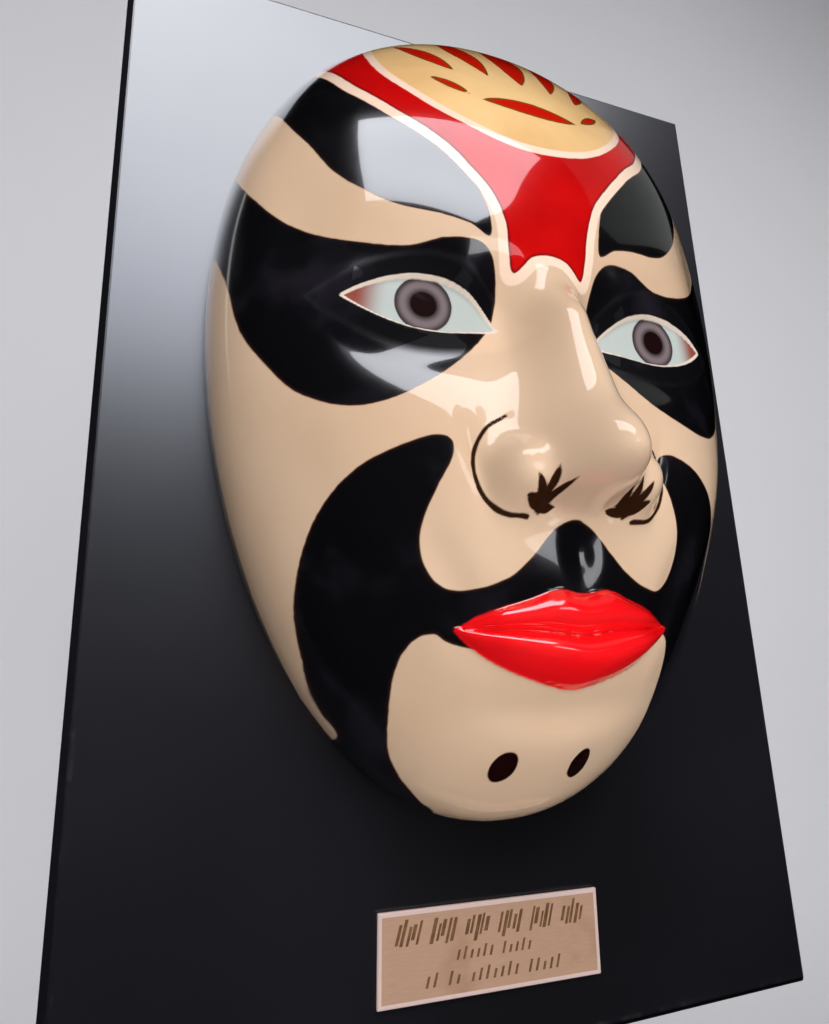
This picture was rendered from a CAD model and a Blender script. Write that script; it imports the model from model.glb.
# A painted opera mask on a lacquered board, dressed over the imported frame.
# Blender works in metres here, and the face is worked out in millimetres.
import math
import bpy
import numpy as np
from mathutils import Matrix, Vector


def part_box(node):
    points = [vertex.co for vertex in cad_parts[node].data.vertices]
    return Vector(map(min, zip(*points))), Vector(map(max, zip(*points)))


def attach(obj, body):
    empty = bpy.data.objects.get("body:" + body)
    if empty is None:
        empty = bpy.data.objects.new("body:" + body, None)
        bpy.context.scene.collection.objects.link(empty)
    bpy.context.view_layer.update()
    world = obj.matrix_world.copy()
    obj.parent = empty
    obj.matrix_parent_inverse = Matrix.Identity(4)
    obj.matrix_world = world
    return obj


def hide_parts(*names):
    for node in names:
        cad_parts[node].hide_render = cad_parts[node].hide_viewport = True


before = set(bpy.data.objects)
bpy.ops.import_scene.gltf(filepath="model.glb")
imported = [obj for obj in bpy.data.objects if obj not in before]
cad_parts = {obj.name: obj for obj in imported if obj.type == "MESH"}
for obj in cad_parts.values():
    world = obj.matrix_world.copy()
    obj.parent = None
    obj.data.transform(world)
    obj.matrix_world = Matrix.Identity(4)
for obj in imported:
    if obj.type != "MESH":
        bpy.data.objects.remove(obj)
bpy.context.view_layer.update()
mm = 0.001
print("frame loaded:", ", ".join(sorted(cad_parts)))

# Camera, fitted to the board's edges in the photograph
photo = {
    "tall": 1024,               # pixels
    "focal": 661.06,
    "downShift": 4,
    "place": (-78.07, -182.21, -60.46),
    "right": (0.941118, -0.336567, -0.031936),
    "up": (-0.050477, -0.233289, 0.971096),
    "back": (-0.334289, -0.912304, -0.236542),
}


def makeCamera():
    lens = bpy.data.cameras.new("photoLens")
    lens.sensor_width = 36
    lens.lens = photo["focal"] / photo["tall"] * lens.sensor_width
    lens.shift_y = photo["downShift"] / photo["tall"]
    lens.clip_start = 0.01
    camera = bpy.data.objects.new("photoCamera", lens)
    turn = Matrix((photo["right"], photo["up"], photo["back"])).transposed()
    camera.matrix_world = Matrix.Translation(Vector(photo["place"]) * mm) @ turn.to_4x4()
    bpy.context.scene.collection.objects.link(camera)
    bpy.context.scene.camera = camera


makeCamera()
print("camera placed")


# Small helpers for places, curves and paint

def smoothStep(value):
    t = np.clip(value, 0, 1)
    return t * t * (3 - 2 * t)


def bell(value, at, width):
    return np.exp(-((value - at) / width) ** 2)


def softMax(a, b, band):
    edge = np.maximum(band - np.abs(a - b), 0) / band
    return np.maximum(a, b) + edge ** 3 * band / 6


def turnedPlace(x, z, atX, atZ, turn):
    c, s = math.cos(math.radians(turn)), math.sin(math.radians(turn))
    return (x - atX) * c + (z - atZ) * s, (z - atZ) * c - (x - atX) * s


def fromScreen(red, green, blue):
    def channel(value):
        share = value / 255
        return share / 12.92 if share < 0.04045 else ((share + 0.055) / 1.055) ** 2.4
    return channel(red), channel(green), channel(blue), 1


# The face: places in eye widths and thirds above the chin, heights in shares of the dome's depth
face = {
    "outlinePower": 2.12, "outlineTaper": 0.13, "domePower": 2.7, "edgePower": 2.25,
    "hairDrop": 0.125, "softMiddle": 0.1, "fadeWidth": 0.28,
    "brow": 2.0, "nose": 1.0, "mouth": 2 / 3, "eyeRaise": 0.02,
    "wall": 3.0, "hollowReach": (0.6, 0.85, 1.0), "hollowTurns": 12,
}
maskLow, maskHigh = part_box("mask")
maskWidth = (maskHigh[0] - maskLow[0]) / mm
maskHeight = (maskHigh[2] - maskLow[2]) / mm
chinLevel = maskLow[2] / mm
eyeWidth = maskWidth / 5
third = maskHeight * (1 - face["hairDrop"]) / 3
browLine, noseLine, mouthLine = face["brow"], face["nose"], face["mouth"]
eyeLine = maskHeight / 2 / third + face["eyeRaise"]

# Low swells and hollows: across, up, wide, tall, turn, rise
swells = {
    "eyeSocket": (0.98, eyeLine - 0.03, 0.62, 0.2, 6, -0.08),
    "innerCorner": (0.44, eyeLine, 0.2, 0.17, 0, -0.075),
    "temple": (2.05, browLine + 0.1, 0.5, 0.36, 0, -0.055),
    "browRidge": (0.9, browLine + 0.05, 0.8, 0.16, 12, 0.03),
    "forehead": (0, browLine + 0.5, 1.5, 0.42, 0, 0.08),
    "cheekBone": (1.2, noseLine + 0.2, 0.75, 0.36, -12, 0.075),
    "cheekHollow": (1.66, mouthLine + 0.02, 0.42, 0.38, -14, -0.055),
    "muzzle": (0, mouthLine + 0.04, 0.98, 0.38, 0, 0.105),
    "chin": (0, 0.21, 0.62, 0.175, 0, 0.14),
    "chinGroove": (0, mouthLine - 0.25, 0.58, 0.07, 0, -0.055),
    "smileFold": (0.9, mouthLine + 0.16, 0.13, 0.26, -26, -0.024),
}
noseTip = (0, noseLine + 0.185, 0.36, 0.13, 0, 0.085)
noseWing = (0.43, noseLine + 0.15, 0.245, 0.118, 20, 0.185)
nostril = (0.21, noseLine + 0.05, 0.115, 0.032, 0, -0.05)
wingFold = (0.74, noseLine + 0.17, 0.06, 0.13, -14, -0.02)
lipGroove = (0, noseLine - 0.1, 0.11, 0.085, 0, -0.022)
nose = {
    "rootHeight": 0.13, "ridgeGrowth": 0.31, "ridgePower": 1.25, "ridgeRound": 2.2,
    "startAt": 0.02, "startOver": 0.3, "widenAt": 0.1, "widenOver": 0.75,
    "rootHalf": 0.225, "halfGrowth": 0.16, "underAt": 0.93, "underSoft": 0.024,
    "tipPower": 1.3, "wingPower": 1.7, "wingBlend": 0.115,
    "tipSide": 2, "tipFrom": 6, "tipTo": 16,         # where the tip is looked for, in millimetres
}
eye = {
    "across": 1.02, "turn": 8, "half": 0.6,
    "upper": 0.11, "upperLean": -0.16, "lower": 0.084, "lowerLean": 0.12,
    "ballWide": 0.7, "ballTall": 0.245, "ballLow": 0.26,
    "base": 0.655, "bulge": 0.255, "skirt": 0.3, "blend": 0.2,
    "step": 0.024, "reach": 0.003, "rim": 0.012,
}
lips = {
    "half": 0.88, "dip": 0.014, "dipWidth": 0.2, "smile": 0.02, "taper": 0.6,
    "upperTall": 0.112, "upperRise": 0.062, "upperLean": -0.6, "ends": 3,
    "lowerTall": 0.165, "lowerRise": 0.11, "lowerLean": 0.5, "lowerRound": 0.85,
    "bow": 0.022, "bowAt": 0.2, "bowWidth": 0.15, "roundness": 0.85,
}


def swellHeight(x, z, swell, power=1):
    atX, atZ, wide, tall, turn, rise = swell
    across, up = turnedPlace(x, z, atX * eyeWidth, atZ * third, turn)
    return rise * np.exp(-((across / (wide * eyeWidth)) ** 2 + (up / (tall * third)) ** 2) ** power)


def halfWidthAt(t):
    steps = np.linspace(0, 1, 401)
    power = face["outlinePower"]
    widest = np.max((1 + face["outlineTaper"] * steps) * (1 - steps ** power) ** (1 / power))
    return maskWidth / 2 * (1 + face["outlineTaper"] * t) / widest


def outlineShare(x, z):
    t = 2 * z / maskHeight - 1
    power = face["outlinePower"]
    return (np.abs(x / halfWidthAt(t)) ** power + np.abs(t) ** power) ** (1 / power)


def outlinePoint(angle):
    c, s = np.cos(angle), np.sin(angle)
    power = face["outlinePower"]
    scale = (np.abs(c) ** power + np.abs(s) ** power) ** (-1 / power)
    return halfWidthAt(scale * s) * scale * c, maskHeight / 2 * (1 + scale * s)


def hollowRim(angle):
    small = math.pi / 1800
    x, z = outlinePoint(angle)
    beforeX, beforeZ = outlinePoint(angle - small)
    afterX, afterZ = outlinePoint(angle + small)
    run = np.hypot(afterX - beforeX, afterZ - beforeZ)
    return x - face["wall"] * (afterZ - beforeZ) / run, z + face["wall"] * (afterX - beforeX) / run


def domeHeight(x, z):
    share = np.minimum(outlineShare(x, z), 1)
    return (1 - share ** face["domePower"]) ** (1 / face["edgePower"])


def broadCarving(x, z):
    fade = smoothStep((1 - outlineShare(x, z)) / face["fadeWidth"]) ** 2
    side = np.hypot(x, face["softMiddle"] * eyeWidth)
    return fade * sum(swellHeight(side if swell[0] else x, z, swell) for swell in swells.values())


def lipRoll(z, top, bottom, rise, lean):
    share = np.clip((z - bottom) / np.maximum(top - bottom, 0.01), 0, 1)
    return rise * (4 * share * (1 - share)) ** lips["roundness"] * (1 + lean * (share - 0.5))


def lipLines(x):
    across = np.clip(np.abs(x) / (lips["half"] * eyeWidth), 0, 1)
    taper = 1 - across ** 2
    side = np.hypot(x / eyeWidth, face["softMiddle"])
    bow = lips["bow"] * bell(side, lips["bowAt"], lips["bowWidth"])
    dip = lips["dip"] * bell(x / eyeWidth, 0, lips["dipWidth"])
    middle = third * (mouthLine - dip + lips["smile"] * across ** 2)
    top = middle + third * (lips["upperTall"] * taper + bow) * smoothStep(lips["ends"] * taper)
    bottom = middle - third * lips["lowerTall"] * taper ** lips["lowerRound"]
    return top, middle, bottom, taper


def mouthCarving(x, z):
    top, middle, bottom, taper = lipLines(x)
    upper = lipRoll(z, top, middle, lips["upperRise"], lips["upperLean"])
    lower = lipRoll(z, middle, bottom, lips["lowerRise"], lips["lowerLean"])
    return (upper + lower) * taper ** lips["taper"] + swellHeight(x, z, lipGroove)


def noseCarving(x, z):
    down = browLine - z / third                 # 0 at the brow and 1 under the nose
    grow = nose["rootHeight"] + nose["ridgeGrowth"] * np.clip(down, 0, 1) ** nose["ridgePower"]
    grow = grow * smoothStep((down - nose["startAt"]) / nose["startOver"])
    widen = smoothStep((down - nose["widenAt"]) / nose["widenOver"])
    half = eyeWidth * (nose["rootHalf"] + nose["halfGrowth"] * widen)
    ridge = grow * np.exp(-np.abs(x / half) ** nose["ridgeRound"])
    under = 1 / (1 + np.exp((down - nose["underAt"]) / nose["underSoft"]))
    middle = (ridge + swellHeight(x, z, noseTip, nose["tipPower"])) * under
    side = np.abs(x)
    wing = swellHeight(side, z, noseWing, nose["wingPower"])
    whole = softMax(middle, wing, nose["wingBlend"]) - nose["wingBlend"] / 6
    return whole + swellHeight(side, z, nostril) + swellHeight(side, z, wingFold)


def eyePlace(x, z):
    return turnedPlace(np.abs(x), z, eye["across"] * eyeWidth, eyeLine * third, eye["turn"])


def eyeOpening(x, z):
    across, up = eyePlace(x, z)
    along = across / (eye["half"] * eyeWidth)
    arch = 1 - along ** 2
    underUpper = eye["upper"] * arch * (1 + eye["upperLean"] * along) - up / third
    overLower = up / third + eye["lower"] * arch * (1 + eye["lowerLean"] * along)
    return np.minimum(underUpper, overLower), np.maximum(arch, 0)


def eyeCarving(x, z, height):
    across, up = eyePlace(x, z)
    tall = np.where(up > 0, eye["ballTall"], eye["ballLow"])
    reach = (across / (eye["ballWide"] * eyeWidth)) ** 2 + (up / (tall * third)) ** 2
    ball = eye["bulge"] * np.sqrt(np.maximum(1 - reach, 0)) - eye["skirt"] * np.maximum(reach - 1, 0)
    lidded = softMax(height, eye["base"] + ball, eye["blend"])
    opening, arch = eyeOpening(x, z)
    return lidded - eye["step"] * np.sqrt(arch) * smoothStep((opening + eye["reach"]) / eye["rim"])


def faceShare(x, z):
    height = domeHeight(x, z) + broadCarving(x, z) + mouthCarving(x, z) + noseCarving(x, z)
    return np.maximum(eyeCarving(x, z, height), 0)


def domeDepth():
    # The tip of the nose is the frontmost point of the frame's mask
    across = np.linspace(-nose["tipSide"], nose["tipSide"], 21)
    up = noseLine * third + np.linspace(nose["tipFrom"], nose["tipTo"], 51)
    return (maskHigh[1] - maskLow[1]) / mm / faceShare(*np.meshgrid(across, up)).max()


maskDepth = domeDepth()


def hollowShare(x, z):
    # The hollow keeps a whole wall away from the face in every direction
    wall = face["wall"]
    height = faceShare(x, z) * maskDepth - wall
    for share in face["hollowReach"]:
        reach = share * wall
        for angle in np.linspace(0, 2 * math.pi, face["hollowTurns"], endpoint=False):
            near = faceShare(x + reach * math.cos(angle), z + reach * math.sin(angle)) * maskDepth
            height = np.minimum(height, near - math.sqrt(wall ** 2 - reach ** 2))
    return np.maximum(height, 0) / maskDepth


# Mask shell: a square grid, rounded and stretched to the outline
shell = {
    "columns": 280, "rows": 330,
    "hollowStep": 10,            # the hollow keeps every tenth line
    "edgeMore": 2.0, "edgeWidth": 0.09,
    "lineMore": 0.7, "lineWidth": 0.3,
    "middleMore": 0.5, "middleWidth": 1.7,
}


def spacedShares(count, density):
    fine = 2000
    middles = (np.arange(fine) + 0.5) * 2 / fine - 1
    sums = np.concatenate(([0], np.cumsum(density(middles))))
    return np.interp(np.linspace(0, sums[-1], count + 1), sums, np.linspace(-1, 1, fine + 1))


def rowDensity(share):
    level = maskHeight / 2 / third * (1 + share)
    more = shell["edgeMore"] * bell(np.abs(share), 1, shell["edgeWidth"])
    for line in (eyeLine, noseLine, mouthLine):
        more = more + shell["lineMore"] * bell(level, line, shell["lineWidth"])
    return 1 + more


def columnDensity(share):
    across = share * maskWidth / 2 / eyeWidth
    more = shell["edgeMore"] * bell(np.abs(share), 1, shell["edgeWidth"])
    return 1 + more + shell["middleMore"] * bell(across, 0, shell["middleWidth"])


def gridPlaces(rows, columns, rim):
    u, v = np.meshgrid(columns, rows)
    across, up = u * np.sqrt(1 - v ** 2 / 2), v * np.sqrt(1 - u ** 2 / 2)
    share = np.hypot(across, up)
    rimX, rimZ = rim(np.arctan2(up, across))
    onRim = np.maximum(np.abs(u), np.abs(v)) > 1 - 1e-9
    return share * rimX, maskHeight / 2 + share * (rimZ - maskHeight / 2), onRim


def gridFaces(rows, columns, start, flip):
    first = (np.arange(rows)[:, None] * (columns + 1) + np.arange(columns)[None, :]).ravel() + start
    corners = [first, first + 1, first + columns + 2, first + columns + 1]
    return np.stack(corners[::-1] if flip else corners, 1).tolist()


def rimLoop(rows, columns, start):
    last = rows * (columns + 1)
    loop = list(range(columns))
    loop += [row * (columns + 1) + columns for row in range(rows)]
    loop += [last + column for column in range(columns, 0, -1)]
    loop += [row * (columns + 1) for row in range(rows, 0, -1)]
    return [number + start for number in loop]


def rimFaces(faceLoop, hollowLoop, step):
    faces = []
    count = len(faceLoop)
    for i, here in enumerate(hollowLoop):
        following = hollowLoop[(i + 1) % len(hollowLoop)]
        points = [faceLoop[(i * step + j) % count] for j in range(step + 1)]
        half = step // 2
        faces += [(points[j], here, points[j + 1]) for j in range(half)]
        faces.append((points[half], here, following))
        faces += [(points[j], following, points[j + 1]) for j in range(half, step)]
    return faces


def newPiece(name, points, faces, smooth=True):
    mesh = bpy.data.meshes.new(name)
    mesh.from_pydata((np.asarray(points) * mm).tolist(), [], faces)
    mesh.polygons.foreach_set("use_smooth", [smooth] * len(mesh.polygons))
    mesh.update()
    piece = bpy.data.objects.new(name, mesh)
    bpy.context.scene.collection.objects.link(piece)
    return piece


def makeMaskShell():
    rows = spacedShares(shell["rows"], rowDensity)
    columns = spacedShares(shell["columns"], columnDensity)
    step = shell["hollowStep"]
    x, z, onRim = gridPlaces(rows, columns, outlinePoint)
    height = np.where(onRim, 0, faceShare(x, z) * maskDepth)
    inX, inZ, onInnerRim = gridPlaces(rows[::step], columns[::step], hollowRim)
    inHeight = np.where(onInnerRim, 0, hollowShare(inX, inZ) * maskDepth)
    seat = maskHigh[1] / mm
    outer = np.stack([x, seat - height, z + chinLevel], -1).reshape(-1, 3)
    inner = np.stack([inX, seat - inHeight, inZ + chinLevel], -1).reshape(-1, 3)
    few = (shell["rows"] // step, shell["columns"] // step)
    faces = gridFaces(shell["rows"], shell["columns"], 0, False)
    faces += gridFaces(few[0], few[1], len(outer), True)
    outerLoop = rimLoop(shell["rows"], shell["columns"], 0)
    faces += rimFaces(outerLoop, rimLoop(few[0], few[1], len(outer)), step)
    return newPiece("mask_shell", np.concatenate([outer, inner]), faces)


maskShell = makeMaskShell()
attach(maskShell, "root")
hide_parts("mask")
print("mask shell:", len(maskShell.data.polygons), "faces, dome depth", round(maskDepth, 2), "mm")


# Painted areas, as closed curves through a few points in the frame's own x and z, in millimetres.
# Each is the right side of the mask, and the left is its mirror image.
paint = {
    "redField": [
        (0, 32), (4.5, 31), (8.8, 27.5), (10.2, 33), (11, 39), (14, 47), (19.5, 54), (27, 62),
        (35.5, 71), (42, 82), (46, 94), (47.5, 106), (46.5, 120), (43, 140), (0, 150),
    ],
    "browLeaf": [
        (14.6, 35.6), (20, 37.2), (26, 38.4), (34, 39.6), (40.5, 43.2), (47.5, 51.4), (53.5, 64),
        (57.5, 77), (59, 90), (56.5, 99), (50, 106), (40, 96), (30, 70), (18, 50),
    ],
    "eyePatch": [
        (12.4, 20), (12.6, 26), (14.2, 31), (18, 33.6), (25.2, 33.3), (33.5, 31), (42.2, 32),
        (50, 35), (56, 39.8), (61, 45.8), (65.4, 54), (67.8, 65), (68.5, 76), (74, 84), (79, 74),
        (76.5, 60), (72.6, 47), (69.4, 34.5), (67.4, 22), (64, 11.5), (59.2, 3), (53.8, -2.8),
        (47, -6), (38.5, -5.4), (29, -0.8), (20, 7), (14.3, 14),
    ],
    "cheekCrescent": [
        (0, -29.6), (4.5, -31.6), (9, -36.4), (14, -41), (20, -43.6), (25.4, -44), (29.4, -41.4),
        (31.6, -36.4), (31.4, -30.5), (29.2, -23.6), (26.6, -18.4), (26.8, -14.6), (30.6, -13.6),
        (38, -15.8), (44.6, -19.6), (49.4, -25.4), (52, -33), (52.6, -42), (51.4, -51.5),
        (48.4, -60.5), (44.4, -68), (40, -74.4), (40, -84), (30, -104), (13.4, -104),
        (15.6, -93.6), (21.8, -88.2), (28, -82), (32, -75), (33.8, -67), (33.6, -59.5),
        (31.4, -54), (27.6, -52.4), (22, -55), (0, -58),
    ],
    "middle": -1.2,
    "rightShift": 3.0, "shiftWidth": 30,      # the right half is painted a little nearer the middle
    "discCentre": (0, 97), "discRadius": 35.4, "discLine": 2.0,
    "outlineWidth": 2.5,
    "chinSpot": (9.4, -80), "spotSize": (2.9, 3.4),
    "irisPlace": (0.2, 0.9), "irisRadius": 6.5, "pupilRadius": 3.0,
    "lipEnds": 30,
    "wobble": 0.3, "shortShare": 0.5,         # the brush wanders in long and short waves
    "acrossWaves": ((9, 13), (3.7, 5.1)), "upWaves": ((8, -15), (4.3, -6)),
}
# Openings of the gold disc, as leaves: centre, turn, half length and half width
discLeaves = [
    ((0, 74.5), 0, 14, 2.6),
    ((0, 103), 90, 17, 4.6),
    ((12.5, 101), 77, 15, 3.4),
    ((23.5, 96.5), 62, 11.5, 2.7),
    ((20.5, 79.5), 38, 6, 1.4),
]
# Line around the wing of the nose, and the strokes that start at the nostril
wingLine = {
    "points": [(15.5, -8.5), (20.5, -12), (23, -18), (22, -24.5), (18, -29), (12.5, -30)],
    "width": 1.0, "thinning": 0.14,
}
nostrilStrokes = {
    "start": (10.5, -28.5), "turns": (28, 62, 96, 132, 170), "lengths": (4.6, 6.4, 6.8, 5.6, 4.4),
    "width": 0.95, "middleAt": 0.42, "halfShare": 0.62,
}


def smoothLoop(points, steps=10, closed=True):
    p = np.array(points, float)
    if not closed:
        p = np.concatenate([[2 * p[0] - p[1]], p, [2 * p[-1] - p[-2]]])
    before, here, after, beyond = (np.roll(p, shift, 0) for shift in (1, 0, -1, -2))
    t = (np.arange(steps) / steps)[None, :, None]
    b, h, a, y = (q[:, None, :] for q in (before, here, after, beyond))
    bend, swing = 2 * b - 5 * h + 4 * a - y, 3 * h - b - 3 * a + y
    curve = 0.5 * (2 * h + (a - b) * t + bend * t ** 2 + swing * t ** 3)
    if not closed:
        return np.concatenate([curve[1:-2].reshape(-1, 2), p[-2:-1]])
    return curve.reshape(-1, 2)


def mirroredLoop(points):
    left = [(-px, pz) for px, pz in reversed(points) if px > 0]
    return smoothLoop(list(points) + left)


def lineDistance(ax, az, bx, bz, x, z):
    dx, dz = bx - ax, bz - az
    share = np.clip(((x - ax) * dx + (z - az) * dz) / max(dx * dx + dz * dz, 1e-9), 0, 1)
    return np.hypot(x - ax - share * dx, z - az - share * dz)


def insideDistance(loop, x, z):
    # Distance to the loop's edge, positive inside it
    nearest = np.full(x.shape, 1e9)
    inside = np.zeros(x.shape, bool)
    for (ax, az), (bx, bz) in zip(loop, np.roll(loop, -1, 0)):
        nearest = np.minimum(nearest, lineDistance(ax, az, bx, bz, x, z))
        if az != bz:
            crosses = (az > z) != (bz > z)
            inside ^= crosses & (x < ax + (z - az) / (bz - az) * (bx - ax))
    return np.where(inside, nearest, -nearest)


def leafDistance(x, z, centre, turn, half, width):
    along, across = turnedPlace(x, z, centre[0], centre[1], turn)
    return width * (1 - (along / half) ** 2) - np.abs(across)


def noseLines(side, z):
    # The line round the wing of the nose and the strokes at the nostril
    wing = smoothLoop(wingLine["points"], closed=False)
    nearest = np.full(side.shape, 1e9)
    for i, (a, b) in enumerate(zip(wing[:-1], wing[1:])):
        thin = wingLine["thinning"] * (1 - i / (len(wing) - 1)) ** 3
        nearest = np.minimum(nearest, lineDistance(*a, *b, side, z) + thin)
    inside = wingLine["width"] / 2 - nearest
    startX, startZ = nostrilStrokes["start"]
    for turn, length in zip(nostrilStrokes["turns"], nostrilStrokes["lengths"]):
        a = math.radians(turn)
        out, half = nostrilStrokes["middleAt"] * length, nostrilStrokes["halfShare"] * length
        middle = (startX + out * math.cos(a), startZ + out * math.sin(a))
        inside = np.maximum(inside, leafDistance(side, z, middle, turn, half, nostrilStrokes["width"]))
    return inside


def brushWaves(a, b, waves):
    long, short = waves
    swing = np.sin(a / short[0] - b / short[1])
    return paint["wobble"] * (np.sin(a / long[0] + b / long[1]) + paint["shortShare"] * swing)


def paintDistances(x, z):
    px = np.abs(x - paint["middle"]) + paint["rightShift"] * smoothStep(x / paint["shiftWidth"])
    px = px + brushWaves(z, x, paint["acrossWaves"])
    pz = z + brushWaves(x, z, paint["upWaves"])
    red = insideDistance(mirroredLoop(paint["redField"]), px, pz)
    discX, discZ = paint["discCentre"]
    disc = paint["discRadius"] - np.hypot(px - discX, pz - discZ)
    brow = insideDistance(smoothLoop(paint["browLeaf"]), px, pz)
    brow = np.minimum(brow, -red - paint["outlineWidth"])
    patch = insideDistance(smoothLoop(paint["eyePatch"]), px, pz)
    crescent = insideDistance(mirroredLoop(paint["cheekCrescent"]), px, pz)
    wide, tall = paint["spotSize"]
    spotX, spotZ = paint["chinSpot"]
    spot = wide * (1 - np.hypot((px - spotX) / wide, (pz - spotZ) / tall))
    top, _, bottom, taper = lipLines(x)
    level = z - chinLevel
    opening = eyeOpening(x, level)[0]
    across, up = eyePlace(x, level)
    irisX, irisZ = paint["irisPlace"]
    return {
        "blackPaint": np.maximum.reduce([brow, patch, crescent]),
        "spotPaint": spot,
        "redPaint": red,
        "discPaint": disc,
        "leafPaint": np.maximum.reduce([leafDistance(px, pz, *leaf) for leaf in discLeaves]),
        "lipPaint": np.minimum.reduce([top - level, level - bottom, paint["lipEnds"] * taper - 1]),
        "linePaint": noseLines(np.abs(x), z),
        "eyePaint": opening * third,
        "irisPaint": paint["irisRadius"] - np.hypot(across - irisX, up - irisZ),
        "cornerPaint": across,
    }


def addPaint(piece):
    count = len(piece.data.vertices)
    places = np.empty(count * 3)
    piece.data.vertices.foreach_get("co", places)
    places = places.reshape(-1, 3) / mm
    for name, distance in paintDistances(places[:, 0], places[:, 2]).items():
        layer = piece.data.attributes.new(name, "FLOAT", "POINT")
        layer.data.foreach_set("value", distance.astype(np.float32))


addPaint(maskShell)
print("paint laid out")


# A small kit for node materials, in object coordinates

class Finish:
    def __init__(self, name):
        self.material = bpy.data.materials.new(name)
        self.material.use_nodes = True
        self.nodes = self.material.node_tree.nodes
        self.links = self.material.node_tree.links
        self.shader = self.nodes["Principled BSDF"]
        self.place = self.nodes.new("ShaderNodeTexCoord").outputs["Object"]

    def set(self, **values):
        for key, value in values.items():
            self.shader.inputs[key].default_value = value

    def link(self, source, socket):
        self.links.new(source, socket)

    def noise(self, scale, detail, stretch=None):
        node = self.nodes.new("ShaderNodeTexNoise")
        node.inputs["Scale"].default_value = scale
        node.inputs["Detail"].default_value = detail
        place = self.place
        if stretch:
            mapping = self.nodes.new("ShaderNodeMapping")
            mapping.inputs["Scale"].default_value = stretch
            self.link(place, mapping.inputs["Vector"])
            place = mapping.outputs["Vector"]
        self.link(place, node.inputs["Vector"])
        return node.outputs["Fac"]

    def calc(self, kind, a, b):
        node = self.nodes.new("ShaderNodeMath")
        node.operation = kind
        for socket, value in zip(node.inputs, (a, b)):
            if isinstance(value, (int, float)):
                socket.default_value = value
            else:
                self.link(value, socket)
        return node.outputs["Value"]

    def span(self, value, low, high, toLow=0.0, toHigh=1.0):
        node = self.nodes.new("ShaderNodeMapRange")
        node.interpolation_type = "SMOOTHSTEP"
        self.link(value, node.inputs["Value"])
        sides = {"From Min": low, "From Max": high, "To Min": toLow, "To Max": toHigh}
        for key, number in sides.items():
            node.inputs[key].default_value = number
        return node.outputs["Result"]

    def mottle(self, facts, toLow=0.0, toHigh=1.0):
        # The facts are a noise's scale and detail, and where its share begins and ends
        scale, detail, low, high = facts
        return self.span(self.noise(scale, detail), low, high, toLow, toHigh)

    def mix(self, factor, under, over):
        node = self.nodes.new("ShaderNodeMix")
        node.data_type = "RGBA"
        self.link(factor, node.inputs["Factor"])
        for socket, value in ((node.inputs[6], under), (node.inputs[7], over)):
            if isinstance(value, tuple):
                socket.default_value = value
            else:
                self.link(value, socket)
        return node.outputs[2]

    def layer(self, name):
        node = self.nodes.new("ShaderNodeAttribute")
        node.attribute_name = name
        return node.outputs["Fac"]

    def bump(self, height, distance):
        node = self.nodes.new("ShaderNodeBump")
        node.inputs["Distance"].default_value = distance
        self.link(height, node.inputs["Height"])
        self.link(node.outputs["Normal"], self.shader.inputs["Normal"])


maskColours = {
    "skin": fromScreen(224, 193, 163), "skinShade": fromScreen(212, 179, 148),
    "black": fromScreen(12, 11, 14), "blackShade": fromScreen(30, 28, 34),
    "blackEdge": fromScreen(48, 26, 20),
    "red": fromScreen(206, 13, 12), "redShade": fromScreen(184, 8, 10),
    "redEdge": fromScreen(118, 8, 16), "cream": fromScreen(250, 218, 194),
    "gold": fromScreen(245, 203, 142), "goldShade": fromScreen(226, 178, 118),
    "leaf": fromScreen(200, 24, 8), "leafEdge": fromScreen(110, 66, 18),
    "lip": fromScreen(255, 22, 28), "lipShade": fromScreen(246, 14, 22),
    "line": fromScreen(48, 26, 14), "spot": fromScreen(26, 7, 6),
    "eyeWhite": fromScreen(182, 190, 186), "eyeLine": fromScreen(222, 206, 190),
    "eyeCorner": fromScreen(140, 72, 62), "iris": fromScreen(118, 106, 108),
    "irisRing": fromScreen(60, 50, 52), "pupil": fromScreen(24, 8, 9),
}
maskMottle = {
    "skin": (16, 4, 0.3, 0.7), "black": (60, 5, 0.5, 0.74), "red": (45, 4, 0.35, 0.7),
    "gold": (30, 4, 0.3, 0.72), "lip": (80, 4, 0.35, 0.7), "gloss": (26, 3, 0.2, 0.8),
}
# Edges are half widths and shifts in millimetres, and the rest are shader values
maskLook = {
    "edgeSoft": 0.18, "wideSoft": 0.3, "redSoft": 0.4, "pupilSoft": 0.25,
    "ripple": 0.3, "rippleScale": 420,
    "blackEdge": 0.42, "redEdge": 0.5, "leafEdge": 1.1, "leafInset": 1.0,
    "eyeRim": (-0.35, 0.45), "corner": (8.0, 15.0), "irisOuter": (0.2, 1.6), "irisInner": (2.0, 3.6),
    "matteReach": 5.6, "matteSoft": 1.6, "matteShare": 0.96, "matteRough": 0.4,
    "rough": (0.1, 0.2), "shine": 0.06, "blackShine": 0.44, "coat": 0.8, "blackCoat": 0.2,
    "coatRough": 0.03, "ior": 1.5, "film": 0.6, "filmSoft": 0.4, "grain": 150, "bump": 0.00003,
}


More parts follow.
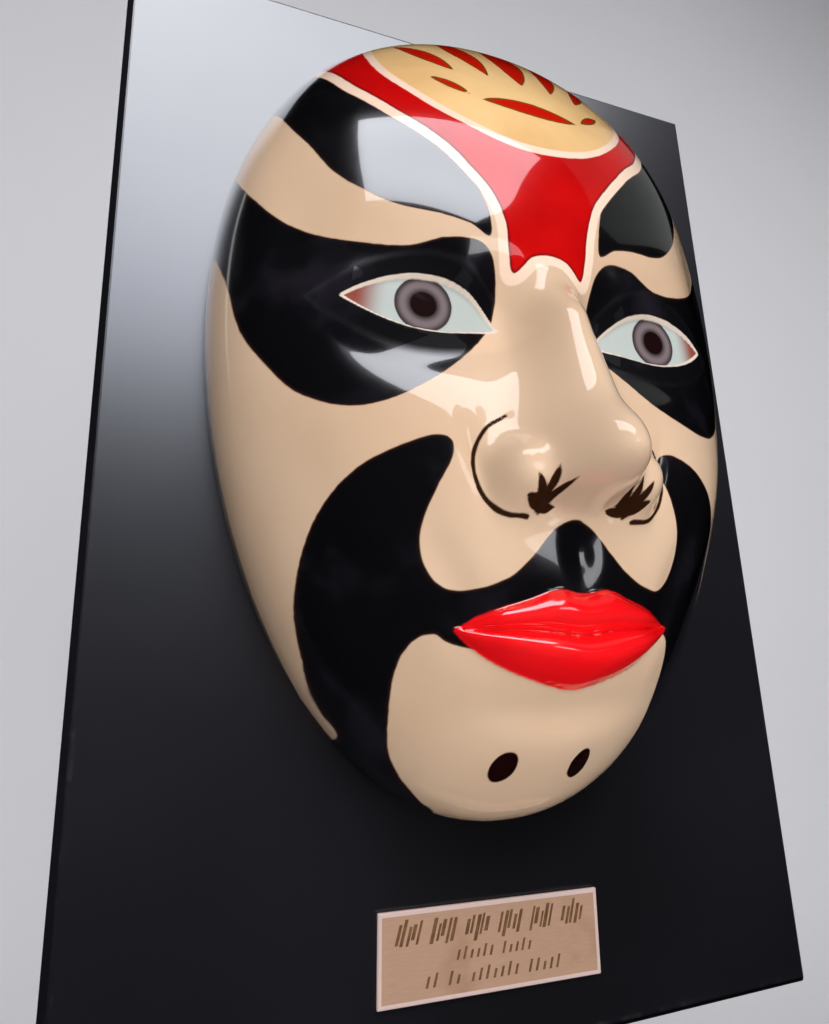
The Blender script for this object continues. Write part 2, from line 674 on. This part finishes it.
def maskFinish():
    finish = Finish("maskLacquer")
    colours, look, socket = maskColours, maskLook, finish.shader.inputs
    mix, calc, layer = finish.mix, finish.calc, finish.layer
    ripple = calc("SUBTRACT", finish.noise(look["rippleScale"], 2), 0.5)
    ripple = calc("MULTIPLY", ripple, look["ripple"])

    def cover(name, shift=0.0, soft=look["edgeSoft"]):
        return finish.span(calc("ADD", layer(name), ripple), shift - soft, shift + soft)

    def mottled(name):
        return mix(finish.mottle(maskMottle[name]), colours[name], colours[name + "Shade"])

    # Each paint by itself
    blackShare = cover("blackPaint", look["blackEdge"], look["wideSoft"])
    black = mix(blackShare, colours["blackEdge"], mottled("black"))
    redShare = cover("redPaint", look["redEdge"], look["redSoft"])
    red = mix(redShare, colours["redEdge"], mottled("red"))
    leafShare = finish.span(layer("leafPaint"), 0.0, look["leafEdge"])
    leaf = mix(leafShare, colours["leafEdge"], colours["leaf"])

    # The paints in the order of the brush
    outline = cover("redPaint", -paint["outlineWidth"], look["wideSoft"])
    colour = mix(outline, mottled("skin"), colours["cream"])
    colour = mix(cover("redPaint"), colour, red)
    colour = mix(cover("discPaint", -paint["discLine"]), colour, colours["cream"])
    colour = mix(cover("discPaint"), colour, mottled("gold"))
    onDisc = calc("MULTIPLY", cover("leafPaint"), cover("discPaint", look["leafInset"]))
    colour = mix(onDisc, colour, leaf)
    colour = mix(cover("blackPaint"), colour, black)
    colour = mix(cover("lipPaint", 0.0, look["wideSoft"]), colour, mottled("lip"))
    colour = mix(cover("linePaint"), colour, colours["line"])
    colour = mix(cover("spotPaint"), colour, colours["spot"])

    # The eyes
    corner = finish.span(layer("cornerPaint"), *look["corner"])
    white = mix(corner, colours["eyeWhite"], colours["eyeCorner"])
    outer = finish.span(layer("irisPaint"), *look["irisOuter"])
    iris = mix(outer, colours["irisRing"], colours["iris"])
    iris = mix(finish.span(layer("irisPaint"), *look["irisInner"]), iris, colours["irisRing"])
    pupilDepth = paint["irisRadius"] - paint["pupilRadius"]
    iris = mix(cover("irisPaint", pupilDepth, look["pupilSoft"]), iris, colours["pupil"])
    white = mix(cover("irisPaint"), white, iris)
    rimOut, rimIn = look["eyeRim"]
    colour = mix(cover("eyePaint", rimOut), colour, colours["eyeLine"])
    colour = mix(cover("eyePaint", rimIn), colour, white)
    finish.link(colour, socket["Base Color"])

    # The eyes, a band around them and the fine lines were painted last, without lacquer
    matte = cover("eyePaint", -look["matteReach"], look["matteSoft"])
    matte = calc("MAXIMUM", matte, cover("linePaint"))
    bare = calc("SUBTRACT", 1.0, calc("MULTIPLY", matte, look["matteShare"]))
    rough = finish.mottle(maskMottle["gloss"], *look["rough"])
    rough = calc("ADD", rough, calc("MULTIPLY", matte, look["matteRough"]))
    onBlack = cover("blackPaint")
    shine = calc("ADD", look["shine"], calc("MULTIPLY", onBlack, look["blackShine"]))
    coat = calc("ADD", look["coat"], calc("MULTIPLY", onBlack, look["blackCoat"]))
    finish.link(rough, socket["Roughness"])
    finish.link(calc("MULTIPLY", shine, bare), socket["Specular IOR Level"])
    finish.link(calc("MULTIPLY", coat, bare), socket["Coat Weight"])
    finish.set(**{"Coat Roughness": look["coatRough"], "IOR": look["ior"]})
    film = calc("MULTIPLY", cover("blackPaint", 0.0, look["filmSoft"]), look["film"])
    finish.bump(calc("ADD", finish.noise(look["grain"], 2), film), look["bump"])
    return finish.material


maskShell.data.materials.append(maskFinish())
print("mask painted")


# Slabs: rounded outlines stacked from the back to the front
leastRadius = 0.05              # millimetres, for the outlines furthest in


def roundedOutline(halfWidth, halfHeight, radius, steps=6):
    points = []
    for quarter in range(4):
        middle = math.radians(90 * quarter + 45)
        cx = math.copysign(halfWidth - radius, math.cos(middle))
        cz = math.copysign(halfHeight - radius, math.sin(middle))
        for i in range(steps + 1):
            angle = math.radians(90 * quarter + 90 * i / steps)
            points.append((cx + radius * math.cos(angle), cz + radius * math.sin(angle)))
    return points


def stackedSlab(name, halfWidth, halfHeight, profile, radius):
    # The profile holds how far each outline lies in from the edge and its y
    points, faces, insets = [], [], []
    for inset, y in profile:
        corner = max(radius - inset, leastRadius)
        outline = roundedOutline(halfWidth - inset, halfHeight - inset, corner)
        points += [(px, y, pz) for px, pz in outline]
        insets += [inset] * len(outline)
    count = len(points) // len(profile)
    for level in range(len(profile) - 1):
        for i in range(count):
            j = (i + 1) % count
            a, b = level * count, (level + 1) * count
            faces.append((a + i, a + j, b + j, b + i))
    faces.append(tuple(range(count))[::-1])
    faces.append(tuple(range(len(points) - count, len(points))))
    piece = newPiece(name, points, faces, smooth=False)
    layer = piece.data.attributes.new("edgeInset", "FLOAT", "POINT")
    layer.data.foreach_set("value", insets)
    return piece


board = {
    "bevel": 2.0, "edgeRound": 0.35, "corner": 0.8, "border": 5.0,
    "lacquer": fromScreen(15, 15, 18), "lacquerShade": fromScreen(21, 20, 25),
    "rubbed": fromScreen(34, 32, 36), "mottle": (9, 5, 0.35, 0.7), "rubs": (240, 4, 0.5, 0.72),
    "rubStart": (1.0, 2.0), "rubEnd": (2.7, 3.4),        # insets between which the edge is rubbed
    "gloss": (14, 4, 0.25, 0.75), "rough": (0.3, 0.36), "coatRough": 0.31, "ior": 1.55,
    "coatIor": 1.6, "grain": 900, "bump": 0.00001,
}


def bevelProfile(back, front, slab):
    # From the back face over the rounded bevels to the front face, and in to the border line
    bevel, rounding, border = slab["bevel"], slab["edgeRound"], slab["border"]
    eased = rounding * 0.3
    steps = [(bevel + rounding, back), (bevel - eased, back - eased),
             (eased, back - bevel + eased), (0, back - bevel - rounding)]
    mirrored = [(inset, front + back - y) for inset, y in reversed(steps)]
    return [(bevel + border, back)] + steps + mirrored + [(bevel + border, front)]


def makeBoard():
    low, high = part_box("board")
    halfWidth, halfHeight = (high[0] - low[0]) / 2 / mm, (high[2] - low[2]) / 2 / mm
    profile = bevelProfile(high[1] / mm, low[1] / mm, board)
    return stackedSlab("board_panel", halfWidth, halfHeight, profile, board["corner"])


boardPanel = makeBoard()
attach(boardPanel, "root")
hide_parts("board")


def boardFinish():
    finish = Finish("boardLacquer")
    tone = finish.mix(finish.mottle(board["mottle"]), board["lacquer"], board["lacquerShade"])
    # The bevel's front edge is rubbed grey in spots
    inset = finish.layer("edgeInset")
    start, end = finish.span(inset, *board["rubStart"]), finish.span(inset, *board["rubEnd"], 1, 0)
    rubbed = finish.calc("MULTIPLY", finish.calc("MULTIPLY", start, end), finish.mottle(board["rubs"]))
    tone = finish.mix(rubbed, tone, board["rubbed"])
    finish.link(tone, finish.shader.inputs["Base Color"])
    finish.link(finish.mottle(board["gloss"], *board["rough"]), finish.shader.inputs["Roughness"])
    finish.set(**{"IOR": board["ior"], "Coat Weight": 1.0, "Coat IOR": board["coatIor"],
                  "Coat Roughness": board["coatRough"]})
    finish.bump(finish.noise(board["grain"], 2), board["bump"])
    return finish.material


boardPanel.data.materials.append(boardFinish())
print("board made")


# Name plate: a thin slab, turned as the frame's plate is, with rows of shallow strokes
plate = {
    "width": 60, "height": 20, "turn": -1.7,
    "bevel": 0.25, "edgeRound": 0.06, "corner": 0.35, "border": 0.95,
    "brass": fromScreen(206, 167, 140), "brassShade": fromScreen(196, 156, 128),
    "stain": fromScreen(172, 130, 102), "edge": fromScreen(236, 208, 200), "edgeLine": (0.95, 1.15),
    "stains": (55, 4, 0.55, 0.85), "gloss": (60, 3, 0.2, 0.8), "rough": (0.42, 0.56),
    "brushScale": 240, "brushStretch": (1, 1, 30), "brushSpan": (0.2, 0.8),
    "metal": 0.35, "bump": 0.00001,
}
marks = {
    "rise": 0.04, "lean": 16, "chamfer": 0.08,
    # How much the strokes vary, and the beat for each group and for each stroke in it
    "tallVary": (0.22, 2.1, 1.7), "thickVary": (0.25, 1.3, 2.9), "dropVary": (0.5, 3.1, 2.3),
    "smallVary": (0.2, 2.3, 1.9),
    "bigRow": {"up": 4.9, "height": 5.6, "groups": 6, "strokes": 5, "spread": 5.2, "pitch": 8.9,
               "thick": 0.8},
    "smallRows": [
        {"up": -0.6, "groups": (6, 5), "pitch": 1.75, "height": 2.7, "thick": 0.62},
        {"up": -5.4, "groups": (2, 2, 7, 5), "pitch": 1.95, "height": 3.0, "thick": 0.66},
    ],
    "enamel": fromScreen(118, 84, 50), "enamelShade": fromScreen(94, 62, 38),
    "mottle": (500, 3, 0.3, 0.7), "gloss": (300, 3, 0.3, 0.7), "rough": (0.4, 0.55),
}


def plateMiddle():
    low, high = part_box("name_plate")
    return (low[0] + high[0]) / 2 / mm, low[1] / mm, high[1] / mm, (low[2] + high[2]) / 2 / mm


def turnOntoPlate(piece):
    x, _, _, z = plateMiddle()
    piece.data.transform(Matrix.Rotation(math.radians(-plate["turn"]), 4, "Y"))
    piece.data.transform(Matrix.Translation(Vector((x, 0, z)) * mm))


def makePlate():
    _, front, back, _ = plateMiddle()
    profile = bevelProfile(back, front, plate)
    halfWidth, halfHeight = plate["width"] / 2, plate["height"] / 2
    piece = stackedSlab("plate_blank", halfWidth, halfHeight, profile, plate["corner"])
    turnOntoPlate(piece)
    return piece


def vary(facts, group, i):
    amount, groupBeat, strokeBeat = facts
    return amount * math.sin(groupBeat * group + strokeBeat * i)


def strokePlaces():
    # Centre, height and thickness of each stroke, row by row, varied in a fixed rhythm
    big = marks["bigRow"]
    for group in range(big["groups"]):
        middle = big["pitch"] * (group - (big["groups"] - 1) / 2)
        for i in range(big["strokes"]):
            share = i / (big["strokes"] - 1) - 0.5
            height = big["height"] * (1 - marks["tallVary"][0] + vary(marks["tallVary"], group, i))
            thick = big["thick"] * (1 + vary(marks["thickVary"], group, i))
            drop = vary(marks["dropVary"], group, i)
            yield middle + share * big["spread"], big["up"] + drop, height, thick
    for row in marks["smallRows"]:
        x = -row["pitch"] * (sum(row["groups"]) + len(row["groups"]) - 2) / 2
        for group, count in enumerate(row["groups"]):
            for i in range(count):
                height = 1 - marks["smallVary"][0] + vary(marks["smallVary"], group, i)
                height = row["height"] * height
                yield x, row["up"] - (row["height"] - height) / 2, height, row["thick"]
                x += row["pitch"]
            x += row["pitch"]


def makeStrokes():
    front = plateMiddle()[1]
    lean = math.tan(math.radians(marks["lean"]))
    points, faces = [], []
    for sx, sz, height, thick in strokePlaces():
        start = len(points)
        shift = height / 2 * lean
        for y, inset in ((front, 0), (front - marks["rise"], marks["chamfer"])):
            w, h = thick / 2 - inset, height / 2 - inset
            points += [(sx - w - shift, y, sz - h), (sx + w - shift, y, sz - h),
                       (sx + w + shift, y, sz + h), (sx - w + shift, y, sz + h)]
        for i in range(4):
            j = (i + 1) % 4
            faces.append((start + i, start + j, start + 4 + j, start + 4 + i))
        faces.append((start + 3, start + 2, start + 1, start))
        faces.append((start + 4, start + 5, start + 6, start + 7))
    piece = newPiece("plate_strokes", points, faces, smooth=False)
    turnOntoPlate(piece)
    return piece


def plateFinish():
    finish = Finish("plateBrass")
    brushed = finish.noise(plate["brushScale"], 2, stretch=plate["brushStretch"])
    tone = finish.mix(finish.span(brushed, *plate["brushSpan"]), plate["brass"], plate["brassShade"])
    tone = finish.mix(finish.mottle(plate["stains"]), tone, plate["stain"])
    tone = finish.mix(finish.span(finish.layer("edgeInset"), *plate["edgeLine"]), plate["edge"], tone)
    finish.link(tone, finish.shader.inputs["Base Color"])
    finish.link(finish.mottle(plate["gloss"], *plate["rough"]), finish.shader.inputs["Roughness"])
    finish.set(Metallic=plate["metal"])
    finish.bump(brushed, plate["bump"])
    return finish.material


def strokeFinish():
    finish = Finish("strokeEnamel")
    tone = finish.mix(finish.mottle(marks["mottle"]), marks["enamel"], marks["enamelShade"])
    finish.link(tone, finish.shader.inputs["Base Color"])
    finish.link(finish.mottle(marks["gloss"], *marks["rough"]), finish.shader.inputs["Roughness"])
    return finish.material


plateBlank = makePlate()
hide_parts("name_plate")
plateStrokes = makeStrokes()
for piece, material in ((plateBlank, plateFinish()), (plateStrokes, strokeFinish())):
    piece.data.materials.append(material)
    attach(piece, "root")
print("name plate made")


# Stage: a pale floor and wall that meet in a curve, and soft light
stage = {
    "wall": 0.62, "floor": -0.42, "round": 0.25, "side": 6.0, "front": -4.0, "top": 4.0,
    "roundSteps": 12, "rough": 0.9, "mottle": (2, 2),
    "paper": fromScreen(222, 222, 224), "paperShade": fromScreen(216, 216, 219),
    "room": (0.9, 0.92, 1.0, 1), "roomStrength": 0.12,
}


def paperFinish():
    finish = Finish("studioPaper")
    tone = finish.mix(finish.noise(*stage["mottle"]), stage["paper"], stage["paperShade"])
    finish.link(tone, finish.shader.inputs["Base Color"])
    finish.set(Roughness=stage["rough"])
    return finish.material


def makeSheet(name, profile, material):
    points = [(sx / mm, y / mm, z / mm) for y, z in profile for sx in (-stage["side"], stage["side"])]
    faces = [(2 * i, 2 * i + 1, 2 * i + 3, 2 * i + 2) for i in range(len(profile) - 1)]
    sheet = newPiece(name, points, faces)
    sheet.data.materials.append(material)
    sheet.visible_glossy = False
    return sheet


def makeStage():
    steps = stage["roundSteps"]
    turns = [math.radians(90 * i / steps) for i in range(steps + 1)]
    low, bend = stage["floor"], stage["round"]
    start = stage["wall"] - bend
    wall = [(start + bend * math.sin(a), low + bend * (1 - math.cos(a))) for a in turns]
    material = paperFinish()
    floor = makeSheet("studioFloor", [(stage["front"], low), wall[0]], material)
    return [floor, makeSheet("studioWall", wall + [(stage["wall"], stage["top"])], material)]


# Directions are in degrees from the board's front, to the right and up, and distances in metres.
# "on" says which pieces a lamp reaches, and "shows" whether it lights them softly, is mirrored
# in them, or both.
lights = {
    "window": {"az": -6, "el": 49, "far": 1.31, "size": (1.2, 0.52), "roll": -22, "radiance": 6.6,
               "tint": (0.91, 0.93, 1.0), "on": "rest", "shows": "mirrored"},
    "skyFill": {"az": -4, "el": 44, "far": 1.3, "size": (1.2, 0.7), "roll": 0, "radiance": 3.6,
                "tint": (0.95, 0.96, 1.0), "on": "rest", "shows": "soft"},
    "boardWindow": {"az": -2, "el": 50, "far": 1.3, "size": (1.15, 0.6), "roll": -14, "radiance": 7.1,
                    "tint": (0.91, 0.93, 1.0), "on": "board", "shows": "both"},
    "boardPanel": {"az": -12, "el": 32, "far": 1.3, "size": (0.95, 0.3), "roll": 0, "radiance": 5.8,
                   "tint": (0.82, 0.86, 1.0), "on": "board", "shows": "both"},
    "frontFill": {"az": -4, "el": 0, "far": 1.4, "size": (1.2, 1.0), "roll": 0, "radiance": 3.5,
                  "tint": (1.0, 0.98, 0.96), "on": "all", "shows": "soft"},
    "lowGlow": {"az": 20, "el": 8, "far": 1.3, "size": (0.42, 0.3), "roll": 0, "radiance": 3.4,
                "tint": (0.93, 0.95, 1.0), "on": "rest", "shows": "mirrored"},
    "rightGlow": {"az": 75, "el": 48, "far": 1.3, "size": (1.2, 0.5), "roll": 0, "radiance": 0.15,
                  "tint": (0.95, 1.0, 0.96), "on": "rest", "shows": "mirrored"},
    "wallFill": {"az": 60, "el": 20, "far": 1.8, "size": (1.4, 1.4), "roll": 0, "radiance": 1.6,
                 "tint": (1.0, 1.0, 1.0), "on": "stage", "shows": "soft"},
    "backFill": {"az": 170, "el": 30, "far": 0.5, "size": (0.5, 0.4), "roll": 0, "radiance": 0.8,
                 "tint": (1.0, 1.0, 1.0), "on": "board", "shows": "both"},
    "leftStrip": {"az": -127, "el": 32, "far": 1.0, "size": (0.2, 0.6), "roll": 0, "radiance": 0.8,
                  "tint": (0.95, 1.0, 0.97), "on": "rest", "shows": "mirrored"},
}


def makeLight(name, facts):
    lamp = bpy.data.lights.new(name, "AREA")
    lamp.shape = "RECTANGLE"
    lamp.size, lamp.size_y = facts["size"]
    lamp.energy = facts["radiance"] * math.pi * lamp.size * lamp.size_y
    lamp.color = facts["tint"]
    az, el = math.radians(facts["az"]), math.radians(facts["el"])
    across = math.cos(el)
    towards = Vector((math.sin(az) * across, -math.cos(az) * across, math.sin(el)))
    light = bpy.data.objects.new(name, lamp)
    light.location = towards * facts["far"]
    aim = (-towards).to_track_quat("-Z", "Y").to_matrix()
    roll = Matrix.Rotation(math.radians(facts["roll"]), 3, "Z")
    light.rotation_euler = (aim @ roll).to_euler()
    light.visible_glossy = facts["shows"] != "soft"
    light.visible_diffuse = facts["shows"] != "mirrored"
    light.visible_camera = False
    if facts["on"] in litObjects:
        group = bpy.data.collections.new(name + "Receivers")
        for thing in litObjects[facts["on"]]:
            group.objects.link(thing)
        light.light_linking.receiver_collection = group
    bpy.context.scene.collection.objects.link(light)


def makeWorld():
    world = bpy.data.worlds.new("paleRoom")
    world.use_nodes = True
    background = world.node_tree.nodes["Background"]
    background.inputs["Color"].default_value = stage["room"]
    background.inputs["Strength"].default_value = stage["roomStrength"]
    world.cycles_visibility.glossy = False
    bpy.context.scene.world = world


sheets = makeStage()
litObjects = {
    "board": [boardPanel], "stage": sheets, "rest": [maskShell, plateBlank, plateStrokes] + sheets,
}
makeWorld()
for name, facts in lights.items():
    makeLight(name, facts)
bpy.context.scene.view_settings.view_transform = "Standard"
print("stage set")
